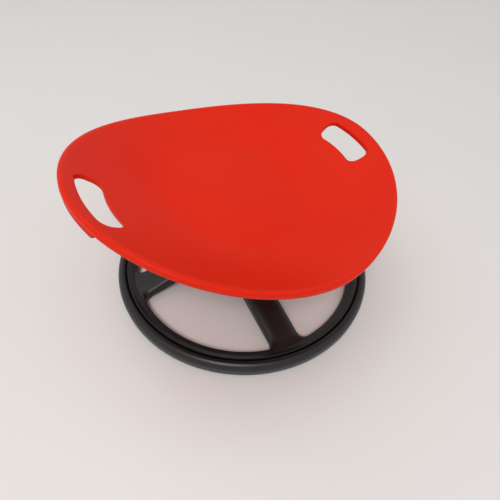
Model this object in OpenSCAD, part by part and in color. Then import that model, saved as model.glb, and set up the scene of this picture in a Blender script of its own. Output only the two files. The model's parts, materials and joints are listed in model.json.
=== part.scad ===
// Toddler spinning seat: a red moulded saucer with two hand slots turns on a leaning
// ball-bearing hub, carried by a black four-spoke ring base with a rubber floor tyre.
// Millimetres, +Z up. The origin is the centre of the floor ring, on the floor.
// At rest the two hand slots lie along X and the high side of the saucer faces -Y.

/* [Seat saucer] */
// Half width of the saucer, from the spin axis to the rim past a hand slot
seat_half_w = 256; // [244:1:270]
// From the spin axis to the high rim that backs the child
seat_front_d = 232; // [215:1:250]
// From the spin axis to the low rim under the legs
seat_back_d = 218; // [205:1:240]
// Squareness of the rim outline, where 2 is an ellipse
rim_square = 1.88; // [1.7:0.02:2.3]
// Rise of the rim above the flat middle, at the hand slots
handle_rise = 82; // [55:1:100]
// Rise of the rim on the high side
front_rise = 59; // [30:1:80]
// Rise of the rim on the low side
back_rise = 18; // [14:1:50]
// Radius of the flat middle of the saucer
flat_r = 108; // [96:1:118]
// How late the saucer turns up towards its rim
dish_power = 1.48; // [1.3:0.02:2]
// Wall of the saucer
seat_wall = 4.5; // [3.5:0.1:5.5]
// Radius of the rolled rim
rim_roll_r = 9; // [7:0.5:12]
// Straight lip below the rolled rim
rim_lip = 5; // [3:0.5:10]

/* [Hand slots] */
// From the spin axis to the middle of a hand slot
slot_x = 221; // [214:1:224]
// Width of a hand slot
slot_w = 31.5; // [26:0.5:34]
// Length of a hand slot, end to end
slot_len = 96; // [80:1:110]
// Radius of the curve that the hand slot bends along
slot_bend_r = 153; // [110:1:260]
// Corner radius of a hand slot
slot_corner_r = 13; // [8:0.5:13]
// Depth of the collar round a hand slot, from the top face
collar_d = 7.5; // [6:0.5:12]
// Wall of the collar round a hand slot
collar_t = 2.5; // [2:0.1:4]
// Drop of the grip skirt below the lip, outside a hand slot
grip_drop = 10; // [6:0.5:16]
// Length of the grip skirt along the rim
grip_len = 118; // [100:1:140]

/* [Seat underside] */
// Depth of the round skirt under the saucer, from the top face
skirt_d = 44; // [34:1:54]
// Wall of the round skirt
skirt_t = 3; // [2.4:0.1:4]
// Number of ribs outside the skirt
rib_count = 16; // [12:2:20]
// Thickness of each rib
rib_t = 2.6; // [2:0.1:3.5]
// Depth of the ribs at the skirt, from the top face
rib_d = 22; // [14:1:28]
// Height of the screw posts below the wall
post_h = 15.5; // [12:0.5:20]
// Radius of a screw post
post_r = 7; // [6:0.5:7.5]

/* [Spin axis] */
// Lean of the spin axis from upright, in degrees
tilt = 10.8; // [7:0.1:13]
// Height at which the spin axis crosses the middle line of the floor ring
axis_cross_h = 243; // [225:1:260]
// Height of the top face at the spin axis
seat_h = 166; // [162:1:176]
// Turn of the base under the seat at rest, in degrees
base_turn = -5.5; // [-10:0.5:4]

/* [Ball bearings] */
// Bore of both bearings
bearing_bore_d = 15; // [14:0.5:16]
// Outside diameter of both bearings
bearing_od = 35; // [34:0.5:37]
// Width of both bearings
bearing_w = 11; // [10:0.5:12]
// Diameter of the balls
ball_d = 6; // [5:0.1:6.5]
// Balls in each bearing
ball_count = 8; // [7:1:9]
// Distance between the two bearings, middle to middle
bearing_span = 71; // [60:1:74]

/* [Spindle and flange] */
// Radius of the steel flange plate
plate_r = 44; // [42:0.5:48]
// Thickness of the flange plate
plate_t = 4; // [3:0.5:5]
// Radius of the circle that the flange screws stand on
screw_circle_r = 33; // [28:0.5:34]
// Number of flange screws
screw_count = 6; // [4:1:8]
// Diameter of the flange screws
screw_d = 5; // [4:0.5:6]
// Radius of the thick end of the spindle
spindle_head_r = 12; // [11:0.5:13]
// Diameter of the thread at the lower end of the spindle
thread_d = 10; // [8:1:12]
// Height of the lock nut
nut_h = 10; // [8:0.5:12]

/* [Hub column] */
// Gap between the flange plate and the top of the hub
hub_gap = 7; // [6:0.5:9]
// Wall of the steel bearing sleeve
sleeve_wall = 3.5; // [3:0.1:4]
// Wall of the moulded tube round the sleeve
tube_wall = 4; // [3:0.1:5]
// Radius of the hub drum that the spokes run into
drum_r = 50; // [46:1:56]
// Wall of the hub drum and of its flared column
drum_wall = 4; // [3:0.1:4.5]
// Depth of the drum below the top of the spokes
drum_d = 36; // [30:1:38]
// Number of webs inside the drum
web_count = 8; // [6:1:12]

/* [Floor ring] */
// Outside diameter of the floor ring, over its tyre
ring_d = 456; // [430:2:480]
// Width of the whole floor ring, from its inner edge to the tyre
ring_w = 34; // [32:0.5:38]
// Height of the ridge beside the tyre
ridge_h = 25; // [23:0.5:28]
// Height of the inner edge of the ring
edge_h = 15; // [13:0.5:18]
// Wall of the moulded ring and of the spokes
base_wall = 3.5; // [2.8:0.1:4]
// Height of the moulded ring above the floor
ring_lift = 2.5; // [2:0.5:4]
// Number of cross ribs under the ring
ring_ribs = 24; // [16:4:32]
// Width of the tyre
tyre_w = 16.4; // [15:0.2:18]
// Height of the tyre
tyre_h = 26.5; // [24:0.5:29]

/* [Spokes] */
// Width of a spoke
spoke_w = 49; // [40:1:56]
// Height of the rounded top of a spoke
spoke_dome = 9; // [6:0.5:11]
// Height of the top of a spoke where it leaves the ring
spoke_foot_h = 17; // [16:0.5:20]
// Radius of the corners between a spoke and the ring
spoke_corner_r = 15; // [10:0.5:20]

/* [Hidden] */
$fn = 96;

// Clearances
touch = 0.05;
press_gap = 0.1;
ball_gap = 0.05;
lip_gap = 0.3;
screw_gap = 0.1;
post_gap = 1;

// Shape of the saucer
outline_steps = 72;
rise_power = 1.8;

// Heights along the spin axis, counted from the top face of the flat middle, down negative
w_post = -seat_wall - post_h;
w_plate = w_post - plate_t;
w_hub = w_plate - hub_gap;
bearing_recess = 3;
w_upper = w_hub - bearing_recess;
w_lower = w_upper - bearing_span;
w_lower_end = w_lower - bearing_w;
washer_t = 2;
w_nut = w_lower_end - washer_t;
spindle_tail = 3;
w_tail = w_nut - nut_h - spindle_tail;
step_below = 6;
w_step = w_lower_end - step_below;
sleeve_ring_t = 1.75;
sleeve_tail = 8;
w_sleeve_end = w_step - sleeve_tail;
mouth_d = 20;
w_mouth = w_step - mouth_d;
cap_t = 3;
w_join = w_lower + 1;
w_drum_end = w_join - drum_d;

// Radii of the bearings and of the hub
pitch_r = (bearing_bore_d + bearing_od) / 4;
land = 0.32 * ball_d;
inner_land_r = pitch_r - land;
outer_land_r = pitch_r + land;
cage_gap = 0.4;
cage_h = ball_d + 1.6;
seal_t = 1;
seal_inset = 0.2;
bearing_edge = 0.6;
sleeve_r = bearing_od / 2 + sleeve_wall;
sleeve_shoulder = 1.5;
sleeve_flange_w = 5;
sleeve_flange_t = 2.5;
tube_r = sleeve_r + press_gap + tube_wall;
column_top_r = tube_r + 3;
mouth_r = sleeve_r + 6;
cap_skirt_t = 2.4;
cap_skirt_h = 9;
spigot_h = 4;
abut_h = 1.5;

// The spin axis, and the base under it
lean_dir = base_turn - 45;
axis_drop = (axis_cross_h - seat_h) / cos(tilt);
join_h = seat_h + w_join * cos(tilt);
join_off = (axis_cross_h - join_h) * tan(tilt);
hub_xy = [-join_off * cos(lean_dir), -join_off * sin(lean_dir)];

// Radii and heights of the floor ring
ring_r = ring_d / 2;
ring_in_r = ring_r - ring_w;
rim_r = ring_r - tyre_w;
ridge_w = 2.6;
tongue_d = 2.6;
tongue_h = 5;
tongue_z = 8;

module on_axis(w = 0) {
    translate([0, 0, axis_cross_h])
        rotate([0, 0, lean_dir])
            rotate([0, tilt, 0])
                rotate([0, 0, -lean_dir])
                    translate([0, 0, w - axis_drop])
                        children();
}

module ring_of(n, r = 0) {
    for (i = [0 : n - 1])
        rotate([0, 0, i * 360 / n])
            translate([r, 0, 0])
                children();
}

module tube(r_out, r_in, h) {
    difference() {
        cylinder(r = r_out, h = h);
        translate([0, 0, -1])
            cylinder(r = r_in, h = h + 2);
    }
}

// Saucer outline and height

function side_d(a) = sin(a) < 0 ? seat_front_d : seat_back_d;
function side_rise(a) = sin(a) < 0 ? front_rise : back_rise;
function rim_at(a) =
    pow(pow(abs(cos(a)) / seat_half_w, rim_square) + pow(abs(sin(a)) / side_d(a), rim_square),
        -1 / rim_square);
function rim_rise(a) =
    let (r = rim_at(a))
    handle_rise * pow(abs(r * cos(a)) / seat_half_w, rise_power)
    + side_rise(a) * pow(abs(r * sin(a)) / side_d(a), rise_power);
function dish(r, a) =
    rim_rise(a) * pow(max(0, (r - flat_r) / (rim_at(a) - flat_r)), dish_power);
function dish_slope(r, a) = dish(r, a) - dish(r - 1, a);
function wall_down(r, a) = seat_wall * sqrt(1 + pow(dish_slope(r, a), 2));

// Points of one section through the saucer, at the angle a: top face, rolled rim, lip, underside
dish_steps = [0, 0.12, 0.26, 0.42, 0.58, 0.74, 0.88, 1];
last_step = len(dish_steps) - 1;
roll_steps = [22, 45, 68, 90];
function dish_r(a, s) = flat_r + s * (rim_at(a) - rim_roll_r - flat_r);
// A point of the rolled rim, on its outside or, with a smaller radius and a drop, on its inside
function roll_point(a, roll_r, turn, drop) =
    let (r = rim_at(a) - (rim_roll_r - roll_r) - roll_r * (1 - sin(turn)))
    [r, dish(r, a) - drop - roll_r * (1 - cos(turn))];
function section(a) =
    let (inner = rim_roll_r - seat_wall)
    let (low = dish(rim_at(a), a) - rim_roll_r - rim_lip)
    concat(
        [for (s = dish_steps) [dish_r(a, s), dish(dish_r(a, s), a)]],
        [for (t = roll_steps) roll_point(a, rim_roll_r, t, 0)],
        [[rim_at(a), low], [rim_at(a) - seat_wall, low]],
        [for (i = [len(roll_steps) - 1 : -1 : 0]) roll_point(a, inner, roll_steps[i], seat_wall)],
        [for (i = [last_step : -1 : 0])
            let (r = dish_r(a, dish_steps[i]))
            [r, dish(r, a) - wall_down(r, a)]]
    );

// A closed skin over sections that run round the axis, with its two middle points
module lathe_skin(sections, top, bottom) {
    n = len(sections);
    m = len(sections[0]);
    rim_points = [for (i = [0 : n - 1]) let (a = i * 360 / n) for (p = sections[i])
        [p[0] * cos(a), p[0] * sin(a), p[1]]];
    polyhedron(
        points = concat(rim_points, [[0, 0, top], [0, 0, bottom]]),
        faces = concat(
            [for (i = [0 : n - 1], j = [0 : m - 2])
                let (k = (i + 1) % n)
                [i * m + j, k * m + j + 1, i * m + j + 1]],
            [for (i = [0 : n - 1], j = [0 : m - 2])
                let (k = (i + 1) % n)
                [i * m + j, k * m + j, k * m + j + 1]],
            [for (i = [0 : n - 1]) [n * m, ((i + 1) % n) * m, i * m]],
            [for (i = [0 : n - 1]) [n * m + 1, i * m + m - 1, ((i + 1) % n) * m + m - 1]]
        )
    );
}

module saucer() {
    lathe_skin(
        [for (i = [0 : outline_steps - 1]) section(i * 360 / outline_steps)],
        0, -seat_wall
    );
}

// Outline of a hand slot in plan, grown by g: two long arcs and four round corners
function arc(c, r, from, to, steps) =
    [for (i = [0 : steps])
        let (t = from + (to - from) * i / steps)
        [c[0] + r * cos(t), c[1] + r * sin(t)]];
function slot_points(g = 0) =
    let (half = (slot_len / 2 - slot_corner_r) / slot_bend_r * 180 / PI)
    let (c = [slot_x - slot_bend_r, 0])
    let (r_in = slot_bend_r - slot_w / 2 + slot_corner_r)
    let (r_out = slot_bend_r + slot_w / 2 - slot_corner_r)
    let (corner_r = slot_corner_r + g)
    let (up = [cos(half), sin(half)])
    let (down = [cos(half), -sin(half)])
    concat(
        arc(c, r_out + corner_r, -half * 0.75, half * 0.75, 4),
        arc(c + r_out * up, corner_r, half, half + 90, 5),
        arc(c + r_in * up, corner_r, half + 90, half + 180, 5),
        arc(c, r_in - corner_r, half * 0.75, -half * 0.75, 4),
        arc(c + r_in * down, corner_r, 180 - half, 270 - half, 5),
        arc(c + r_out * down, corner_r, 270 - half, 360 - half, 5)
    );
function dish_at(p) = dish(norm(p), atan2(p[1], p[0]));

module slot_hole() {
    translate([0, 0, -seat_half_w])
        linear_extrude(2 * seat_half_w)
            polygon(slot_points());
}

// Collar that follows the saucer round a hand slot
module slot_collar() {
    outer = slot_points(collar_t);
    inner = slot_points(-0.5);
    n = len(outer);
    rows = [for (i = [0 : n - 1])
        let (p = outer[i])
        let (q = inner[i])
        [
            [p[0], p[1], dish_at(p) - seat_wall / 2],
            [q[0], q[1], dish_at(q) - seat_wall / 2],
            [q[0], q[1], dish_at(q) - collar_d],
            [p[0], p[1], dish_at(p) - collar_d]
        ]];
    closed_loft(rows);
}

module both_sides() {
    children();
    mirror([1, 0, 0])
        children();
}

// Skirt outside a hand slot: a strip of the rim carried on below the lip, with round lower corners
grip_steps = 12;
grip_corner = 9;
module grip_skirt() {
    half = asin(grip_len / 2 / seat_half_w);
    function drop_at(t) =
        let (e = (1 - abs(t)) * grip_len / 2)
        e >= grip_corner ? grip_drop
        : grip_drop * sqrt(max(0, 1 - pow(1 - e / grip_corner, 2)));
    stations = [for (i = [0 : grip_steps]) sin(90 * (2 * i / grip_steps - 1))];
    rows = [for (t = stations)
        let (a = t * half)
        let (r = rim_at(a))
        let (low = dish(r, a) - rim_roll_r - rim_lip)
        [for (p = [
                [r, low + 1], [r, low - drop_at(t)],
                [r - seat_wall, low - drop_at(t)], [r - seat_wall, low + 1]
            ])
            [p[0] * cos(a), p[0] * sin(a), p[1]]]];
    loft(rows);
}

// A closed solid through rows of points, all rows with the same count
module loft(rows) {
    n = len(rows);
    m = len(rows[0]);
    polyhedron(
        points = [for (row = rows) for (p = row) p],
        faces = concat(
            [for (i = [0 : n - 2], j = [0 : m - 1])
                let (k = (j + 1) % m)
                [i * m + j, (i + 1) * m + j, (i + 1) * m + k]],
            [for (i = [0 : n - 2], j = [0 : m - 1])
                let (k = (j + 1) % m)
                [i * m + j, (i + 1) * m + k, i * m + k]],
            [[for (j = [0 : m - 1]) j]],
            [[for (j = [m - 1 : -1 : 0]) (n - 1) * m + j]]
        )
    );
}

// The same, with its last row joined to its first
module closed_loft(rows) {
    n = len(rows);
    m = len(rows[0]);
    polyhedron(
        points = [for (row = rows) for (p = row) p],
        faces = concat(
            [for (i = [0 : n - 1], j = [0 : m - 1])
                let (k = (j + 1) % m)
                [i * m + j, ((i + 1) % n) * m + k, ((i + 1) % n) * m + j]],
            [for (i = [0 : n - 1], j = [0 : m - 1])
                let (k = (j + 1) % m)
                [i * m + j, i * m + k, ((i + 1) % n) * m + k]]
        )
    );
}

// Seat

skirt_r = flat_r - 1.5;
pad_in_r = screw_circle_r + post_r + post_gap;
slot_half_angle = atan((slot_len / 2 + collar_t + rib_t) / (slot_x - slot_w));

// A rib that follows the saucer outward from the skirt, with a gusset that runs down the skirt
rib_steps = [0, 0.2, 0.45, 0.7, 0.92];
gusset_w = 14;
gusset_foot = 6;
rib_tail = 2;
module rib(a) {
    rotate([0, 0, a])
        translate([0, rib_t / 2, 0])
            rotate([90, 0, 0])
                linear_extrude(rib_t)
                    polygon(concat(
                        [[skirt_r - skirt_t / 2, -seat_wall / 2]],
                        [for (s = rib_steps)
                            let (r = dish_r(a, s))
                            [r, dish(r, a) - seat_wall / 2]],
                        [for (i = [len(rib_steps) - 1 : -1 : 0])
                            let (s = rib_steps[i])
                            let (r = dish_r(a, s) + (s == 0 ? gusset_w : 0))
                            [r, dish(r, a) - rib_d * (1 - s) - (seat_wall + rib_tail) * s]],
                        [[skirt_r - skirt_t / 2, gusset_foot - skirt_d]]
                    ));
}

module seat_underside() {
    translate([0, 0, -skirt_d])
        tube(skirt_r, skirt_r - skirt_t, skirt_d - seat_wall / 2);
    // The ribs stay clear of the hand slots
    for (i = [0 : rib_count - 1])
        if (abs(sin(i * 360 / rib_count)) > sin(slot_half_angle))
            rib(i * 360 / rib_count);
    // Inside the skirt: spokes of the pad, their ring, the screw posts and the spindle socket
    translate([0, 0, w_post])
        tube(plate_r, pad_in_r, post_h + seat_wall / 2);
    ring_of(2 * screw_count)
        translate([spindle_head_r, -rib_t / 2, w_post + 2])
            cube([skirt_r - spindle_head_r - 1, rib_t, post_h]);
    ring_of(screw_count, screw_circle_r)
        translate([0, 0, w_post])
            cylinder(r = post_r, h = post_h + seat_wall / 2, $fn = 32);
    translate([0, 0, w_post])
        cylinder(r = spindle_head_r + skirt_t, h = post_h + seat_wall / 2, $fn = 48);
}

module seat_shell() color([0.85, 0.13, 0.08]) {
    on_axis()
        difference() {
            union() {
                saucer();
                seat_underside();
                both_sides() {
                    slot_collar();
                    grip_skirt();
                }
            }
            both_sides()
                slot_hole();
            ring_of(screw_count, screw_circle_r)
                translate([0, 0, w_post - 1])
                    cylinder(d = screw_d + 2 * screw_gap, h = post_h - 1, $fn = 24);
            translate([0, 0, w_post - 1])
                cylinder(r = spindle_head_r + press_gap, h = spigot_h + 1 + press_gap, $fn = 64);
        }
}

module flange_plate() color([0.62, 0.63, 0.65]) {
    on_axis(w_plate)
        difference() {
            cylinder(r = plate_r, h = plate_t);
            translate([0, 0, -1])
                cylinder(r = spindle_head_r + touch, h = plate_t + 2);
            ring_of(screw_count, screw_circle_r)
                translate([0, 0, -1])
                    cylinder(d = screw_d + 2 * screw_gap, h = plate_t + 2, $fn = 32);
        }
}

module spindle() color([0.7, 0.71, 0.73]) {
    chamfer = 1;
    bore_r = bearing_bore_d / 2;
    weld = 2.5;
    on_axis()
        rotate_extrude()
            polygon([
                [0, w_post + spigot_h],
                [spindle_head_r - chamfer, w_post + spigot_h],
                [spindle_head_r, w_post + spigot_h - chamfer],
                [spindle_head_r, w_plate],
                [spindle_head_r + weld, w_plate],
                [spindle_head_r, w_plate - weld],
                [spindle_head_r, w_upper + abut_h],
                [inner_land_r - 0.5, w_upper + abut_h],
                [inner_land_r - 0.5, w_upper],
                [bore_r - touch, w_upper],
                [bore_r - touch, w_lower_end + 0.5],
                [thread_d / 2, w_lower_end],
                [thread_d / 2, w_tail + chamfer],
                [thread_d / 2 - chamfer, w_tail],
                [0, w_tail]
            ]);
}

module flange_screws() color([0.72, 0.73, 0.75]) {
    head_r = 0.92 * screw_d;
    head_h = 0.66 * screw_d;
    shank = plate_t + post_h - 4;
    on_axis(w_plate)
        ring_of(screw_count, screw_circle_r)
            rotate_extrude($fn = 32)
                polygon([
                    [0, -head_h],
                    [0.6 * head_r, -head_h],
                    [0.9 * head_r, -0.7 * head_h],
                    [head_r, -0.3 * head_h],
                    [head_r, 0],
                    [screw_d / 2, 0],
                    [screw_d / 2, shank - 2],
                    [0.6, shank],
                    [0, shank]
                ]);
}

module spindle_seal() color([0.12, 0.12, 0.12]) {
    reach = 5;
    on_axis()
        rotate_extrude()
            polygon([
                [spindle_head_r + touch, w_hub + 3.2],
                [spindle_head_r + 3, w_hub + 3.2],
                [spindle_head_r + 3, w_hub + 2],
                [spindle_head_r + reach, w_hub + lip_gap + 0.4],
                [spindle_head_r + reach, w_hub + lip_gap],
                [spindle_head_r + reach - 0.6, w_hub + lip_gap],
                [spindle_head_r + 2.2, w_hub + 1.2],
                [spindle_head_r + touch, w_hub + 1.2]
            ]);
}

// Bearings, each drawn from its upper face down

module race(r_a, r_b) {
    difference() {
        translate([0, 0, -bearing_w])
            rotate_extrude()
                polygon([
                    [r_a + bearing_edge * (r_a < r_b && r_a < pitch_r ? 1 : 0), 0],
                    [r_b - bearing_edge * (r_b > pitch_r ? 1 : 0), 0],
                    [r_b, bearing_edge],
                    [r_b, bearing_w - bearing_edge],
                    [r_b - bearing_edge * (r_b > pitch_r ? 1 : 0), bearing_w],
                    [r_a + bearing_edge * (r_a < pitch_r ? 1 : 0), bearing_w],
                    [r_a, bearing_w - bearing_edge],
                    [r_a, bearing_edge]
                ]);
        translate([0, 0, -bearing_w / 2])
            rotate_extrude()
                translate([pitch_r, 0])
                    circle(r = ball_d / 2 + ball_gap, $fn = 48);
    }
}

module inner_race() {
    race(bearing_bore_d / 2, inner_land_r);
}

module outer_race() {
    race(outer_land_r, bearing_od / 2);
}

module balls() {
    ring_of(ball_count, pitch_r)
        translate([0, 0, -bearing_w / 2])
            sphere(d = ball_d, $fn = 32);
}

module cage() {
    difference() {
        translate([0, 0, -bearing_w / 2 - cage_h / 2])
            tube(outer_land_r - cage_gap, inner_land_r + cage_gap, cage_h);
        ring_of(ball_count, inner_land_r)
            translate([0, 0, -bearing_w / 2])
                rotate([0, 90, 0])
                    cylinder(d = ball_d + 4 * ball_gap, h = 2 * land, $fn = 32);
    }
}

module seals() {
    for (w = [-seal_inset - seal_t, seal_inset - bearing_w])
        translate([0, 0, w])
            tube(outer_land_r - touch, inner_land_r + 0.15, seal_t);
}

module upper_inner_race() color([0.75, 0.76, 0.78]) {
    on_axis(w_upper)
        inner_race();
}

module lower_inner_race() color([0.75, 0.76, 0.78]) {
    on_axis(w_lower)
        inner_race();
}

module upper_outer_race() color([0.75, 0.76, 0.78]) {
    on_axis(w_upper)
        outer_race();
}

module lower_outer_race() color([0.75, 0.76, 0.78]) {
    on_axis(w_lower)
        outer_race();
}

module upper_balls() color([0.85, 0.86, 0.88]) {
    on_axis(w_upper)
        balls();
}

module lower_balls() color([0.85, 0.86, 0.88]) {
    on_axis(w_lower)
        balls();
}

module upper_cage() color([0.75, 0.62, 0.3]) {
    on_axis(w_upper)
        cage();
}

module lower_cage() color([0.75, 0.62, 0.3]) {
    on_axis(w_lower)
        cage();
}

module upper_seals() color([0.1, 0.1, 0.1]) {
    on_axis(w_upper)
        seals();
}

module lower_seals() color([0.1, 0.1, 0.1]) {
    on_axis(w_lower)
        seals();
}

module bearing_spacer() color([0.66, 0.67, 0.7]) {
    on_axis(w_lower)
        tube(inner_land_r - 0.6, bearing_bore_d / 2, bearing_span - bearing_w);
}

module spindle_washer() color([0.72, 0.73, 0.75]) {
    on_axis(w_nut)
        tube(inner_land_r - 0.2, thread_d / 2 + 0.25, washer_t);
}

module spindle_nut() color([0.72, 0.73, 0.75]) {
    collar = 2.5;
    flats = 1.7 * thread_d;
    on_axis(w_nut - nut_h)
        difference() {
            union() {
                translate([0, 0, collar])
                    cylinder(d = flats / cos(30), h = nut_h - collar, $fn = 6);
                cylinder(d = flats - 2, h = collar + 1);
            }
            translate([0, 0, -1])
                cylinder(d = thread_d + 2 * touch, h = nut_h + 2);
        }
}

// Base

module bearing_sleeve() color([0.55, 0.56, 0.58]) {
    pocket_r = bearing_od / 2;
    bore_r = pocket_r - sleeve_shoulder;
    groove = 1;
    on_axis()
        rotate_extrude()
            polygon([
                [pocket_r, w_hub],
                [sleeve_r + sleeve_flange_w, w_hub],
                [sleeve_r + sleeve_flange_w, w_hub - sleeve_flange_t],
                [sleeve_r, w_hub - sleeve_flange_t],
                [sleeve_r, w_step - touch],
                [sleeve_r - groove, w_step - touch],
                [sleeve_r - groove, w_step - sleeve_ring_t - 3 * touch],
                [sleeve_r, w_step - sleeve_ring_t - 3 * touch],
                [sleeve_r, w_sleeve_end],
                [pocket_r, w_sleeve_end],
                [pocket_r, w_lower],
                [bore_r, w_lower],
                [bore_r, w_upper - bearing_w],
                [pocket_r, w_upper - bearing_w]
            ]);
}

module sleeve_ring() color([0.5, 0.5, 0.52]) {
    ear = 3;
    on_axis(w_step - sleeve_ring_t - touch)
        difference() {
            union() {
                cylinder(r = sleeve_r + 3, h = sleeve_ring_t);
                for (s = [-1, 1])
                    rotate([0, 0, s * 9])
                        translate([sleeve_r + 1.5, 0, 0])
                            cylinder(r = ear, h = sleeve_ring_t, $fn = 32);
            }
            translate([0, 0, -1])
                cylinder(r = sleeve_r - 1 + touch, h = sleeve_ring_t + 2);
            translate([sleeve_r - 2, -1.5, -1])
                cube([12, 3, sleeve_ring_t + 2]);
        }
}

// Flared column and drum of the hub, as a turned outline

flare_steps = 10;
w_column = w_hub - sleeve_flange_t;
function flare_r(t) = column_top_r + (drum_r - column_top_r) * pow(t, 2.4);
function flare_w(t) = w_column + t * (w_join - w_column);

module hub_outer() {
    on_axis()
        rotate_extrude()
            polygon(concat(
                [[0, w_drum_end], [drum_r, w_drum_end]],
                [for (i = [flare_steps : -1 : 1])
                    [flare_r(i / flare_steps), flare_w(i / flare_steps)]],
                [[column_top_r, w_column - 1.5], [column_top_r - 1.5, w_column], [0, w_column]]
            ));
}

module hub_hollow() {
    first = 4;
    on_axis()
        rotate_extrude()
            polygon(concat(
                [[mouth_r + 1, w_drum_end - 1], [drum_r - drum_wall, w_drum_end - 1]],
                [for (i = [flare_steps : -1 : first])
                    [max(tube_r + 0.5, flare_r(i / flare_steps) - drum_wall),
                        flare_w(i / flare_steps)]],
                [[tube_r, flare_w(first / flare_steps)],
                    [tube_r, w_step - 1],
                    [mouth_r + 1, w_step - 1]]
            ));
}

module hub_bore() {
    on_axis(w_step)
        cylinder(r = sleeve_r + press_gap, h = w_column - w_step + 1);
    on_axis(w_mouth - 1)
        cylinder(r = mouth_r, h = mouth_d + 1);
}

module hub_mouth() {
    on_axis(w_mouth)
        cylinder(r = mouth_r + tube_wall, h = mouth_d);
}

module hub_webs() {
    web_t = 3;
    on_axis(w_drum_end + 4)
        rotate([0, 0, lean_dir])
            ring_of(web_count)
                translate([tube_r - 1, -web_t / 2, 0])
                    cube([drum_r - tube_r - drum_wall + 2, web_t, w_join - w_drum_end - 8]);
}

// Moulded ring, as a turned outline that runs from its inner edge out to the tyre

module ring_outer() {
    edge_r = 3.5;
    rotate_extrude()
        polygon(concat(
            [[ring_in_r, ring_lift]],
            [for (t = [0 : 30 : 90])
                [ring_in_r + edge_r * (1 - cos(t)), edge_h - edge_r * (1 - sin(t))]],
            [
                [rim_r - ridge_w - 5, ridge_h - 5],
                [rim_r - ridge_w, ridge_h - 0.8],
                [rim_r - ridge_w + 0.8, ridge_h],
                [rim_r - 0.8, ridge_h],
                [rim_r, ridge_h - 0.8],
                [rim_r, tongue_z + tongue_h],
                [rim_r + tongue_d, tongue_z + tongue_h - 1],
                [rim_r + tongue_d, tongue_z + 1],
                [rim_r, tongue_z],
                [rim_r, ring_lift]
            ]
        ));
}

module ring_channel() {
    rotate_extrude()
        polygon([
            [ring_in_r + base_wall, ring_lift - 1],
            [ring_in_r + base_wall, edge_h - base_wall],
            [rim_r - ridge_w - 4, ridge_h - 5 - base_wall],
            [rim_r - base_wall, ridge_h - 5 - base_wall],
            [rim_r - base_wall, ring_lift - 1]
        ]);
}

module ring_webs() {
    web_t = 2.4;
    rotate([0, 0, base_turn + 45])
        ring_of(ring_ribs)
            translate([ring_in_r + 1, -web_t / 2, ring_lift + 2])
                cube([rim_r - ring_in_r - 2, web_t, edge_h - ring_lift - 4]);
}

// Spokes. Each starts under the ring and ends in the drum. Its section is a domed channel.

spoke_steps = 13;
spoke_sides = 12;
dome_power = 2.6;
spoke_bend = 10;
root_lift = 8;
spoke_end = drum_r - 8;
function hub_along(k) = let (a = base_turn + 90 * k) hub_xy * [cos(a), sin(a)];
function hub_across(k) = let (a = base_turn + 90 * k) hub_xy * [-sin(a), cos(a)];
// Distance along spoke k from the hub to a circle of the ring, at the offset y across it
function reach(k, r, y) = sqrt(r * r - pow(y + hub_across(k), 2)) - hub_along(k);
function corner(d) =
    d >= spoke_corner_r ? 0
    : d <= 0 ? spoke_corner_r
    : spoke_corner_r - sqrt(spoke_corner_r * spoke_corner_r - pow(spoke_corner_r - d, 2));
// The length v, eased to 0 over a bend of the size k
function soft_len(v, k) = (v + sqrt(v * v + k * k)) / 2;
// Heights of the top and of the lower edges of spoke k, x from the hub
function spoke_top(k, x) =
    let (foot = reach(k, ring_in_r, 0))
    spoke_foot_h + (join_h - spoke_foot_h) * soft_len(foot - x, spoke_bend) / (foot - drum_r);
function spoke_low(k, x) =
    let (foot = reach(k, ring_in_r, 0))
    ring_lift + (join_h - drum_d + root_lift - ring_lift) * soft_len(foot - x, spoke_bend) / (foot - drum_r);

// Spoke k as a solid, made smaller by inset and dug down below its lower edges by dig
module spoke(k, inset, dig) {
    x0 = spoke_end;
    x1 = reach(k, ring_in_r + base_wall + 4, 0);
    half = spoke_w / 2;
    stations = [for (i = [0 : spoke_steps]) let (t = i / spoke_steps)
        x0 + (x1 - x0) * (1 - pow(1 - t, 1.6))];
    rows = [for (x = stations)
        let (left = half + corner(reach(k, ring_in_r, half) - x) - inset)
        let (right = half + corner(reach(k, ring_in_r, -half) - x) - inset)
        let (top = spoke_top(k, x) - inset)
        let (shoulder = spoke_top(k, x) - spoke_dome)
        concat(
            [[x, -right, spoke_low(k, x) - dig]],
            [for (j = [0 : spoke_sides])
                let (t = 180 * j / spoke_sides - 90)
                let (s = sin(t))
                [x,
                    sign(s) * pow(abs(s), 2 / dome_power) * (s < 0 ? right : left),
                    shoulder + (top - shoulder) * pow(max(0, cos(t)), 2 / dome_power)]],
            [[x, left, spoke_low(k, x) - dig]]
        )];
    translate([hub_xy[0], hub_xy[1], 0])
        rotate([0, 0, base_turn + 90 * k])
            loft([for (i = [len(rows) - 1 : -1 : 0]) rows[i]]);
}

module spoke_webs(k) {
    web_t = 2.6;
    x1 = reach(k, ring_in_r, 0);
    intersection() {
        spoke(k, 1, 0);
        translate([hub_xy[0], hub_xy[1], 0])
            rotate([0, 0, base_turn + 90 * k])
                for (t = [0.3, 0.55, 0.8])
                    translate([drum_r + t * (x1 - drum_r), -spoke_w, spoke_low(k, x1) + 3])
                        cube([web_t, 2 * spoke_w, join_h]);
    }
}

module base_frame() color([0.1, 0.1, 0.1]) {
    difference() {
        union() {
            difference() {
                union() {
                    ring_outer();
                    for (k = [0 : 3])
                        spoke(k, 0, 0);
                    hub_outer();
                }
                ring_channel();
                for (k = [0 : 3])
                    spoke(k, base_wall, 12);
                hub_hollow();
            }
            ring_webs();
            for (k = [0 : 3])
                spoke_webs(k);
            hub_webs();
            hub_mouth();
        }
        hub_bore();
    }
}

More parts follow.
